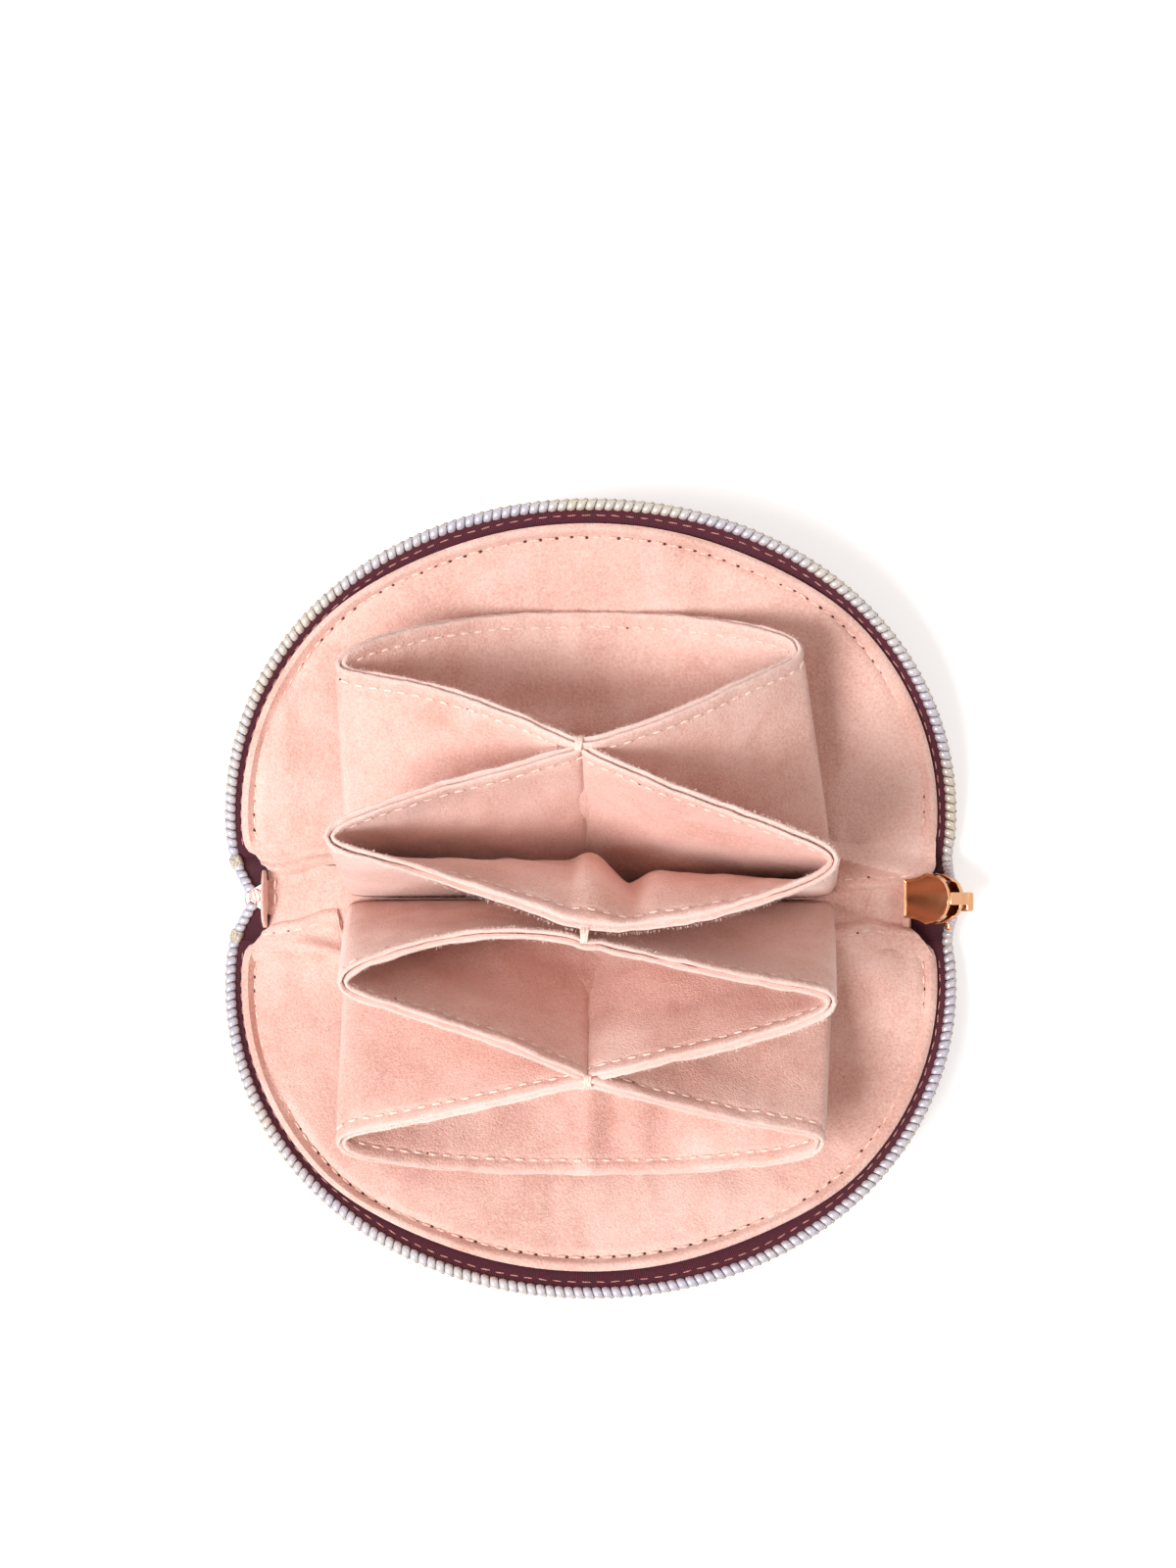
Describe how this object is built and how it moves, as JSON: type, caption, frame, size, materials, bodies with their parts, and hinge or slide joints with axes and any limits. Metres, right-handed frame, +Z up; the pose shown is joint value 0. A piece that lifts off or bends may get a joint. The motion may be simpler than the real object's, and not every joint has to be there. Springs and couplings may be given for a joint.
{
  "type": "jewelry case",
  "caption": "Half-moon travel jewelry case lying open on its spine, with fanned suede pockets between two padded leather sides and a zip fastener.",
  "frame": {"origin": "centre of the flat underside of the spine, the strip that the open case stands on", "axes": "+Z up from the spine, +X along the spine and the fold line towards the zip slider, +Y towards the rear side of the case"},
  "size_m": [0.1415, 0.148, 0.0538],
  "materials": {
    "suede": "soft peach suede with a short nap",
    "leather": "fine grained burgundy leather",
    "board": "pressed stiffener board",
    "zip_tape": "woven zip tape",
    "zip_silver": "pale silver metallised coil",
    "zip_gold": "polished rose gold plate",
    "thread": "sewing thread"
  },
  "bodies": {
    "base": {"base_leather": "leather", "base_board": "board", "base_lining": "suede", "left_end_wall": "suede", "right_end_wall": "suede", "pocket_1": "suede", "pocket_2": "suede", "pocket_3": "suede", "pocket_4": "suede", "rim_tack_1": "thread", "rim_tack_2": "thread", "rim_tack_3": "thread"},
    "rear_shell": {"rear_leather": "leather", "rear_board": "board", "rear_lining": "suede", "rear_zip_tape": "zip_tape", "rear_zip_teeth": "zip_silver", "rear_top_stop": "zip_silver"},
    "front_shell": {"front_leather": "leather", "front_board": "board", "front_lining": "suede", "front_zip_tape": "zip_tape", "front_zip_teeth": "zip_silver", "front_top_stop": "zip_silver"},
    "slider": {"zip_slider": "zip_gold"},
    "pull": {"pull_tab": "zip_gold"}
  },
  "joints": [
    {"name": "rear_hinge", "type": "hinge", "parent": "base", "child": "rear_shell", "pos_m": [0, 0.007, 0.0046], "axis": [1, 0, 0], "range_deg": [0, 79], "deforming": ["pocket_1", "pocket_2", "rim_tack_1"]},
    {"name": "front_hinge", "type": "hinge", "parent": "base", "child": "front_shell", "pos_m": [0, -0.007, 0.0046], "axis": [-1, 0, 0], "range_deg": [0, 79], "deforming": ["pocket_3", "pocket_4", "rim_tack_2", "rim_tack_3"]},
    {"name": "zip_travel", "type": "hinge", "parent": "base", "child": "slider", "pos_m": [0, 0, 0.00336], "axis": [0, -1, 0], "range_deg": [0, 166.7]},
    {"name": "pull_swing", "type": "hinge", "parent": "slider", "child": "pull", "pos_m": [0.06844, 0, 0.00867], "axis": [0, -1, 0], "range_deg": [-35, 80]}
  ]
}
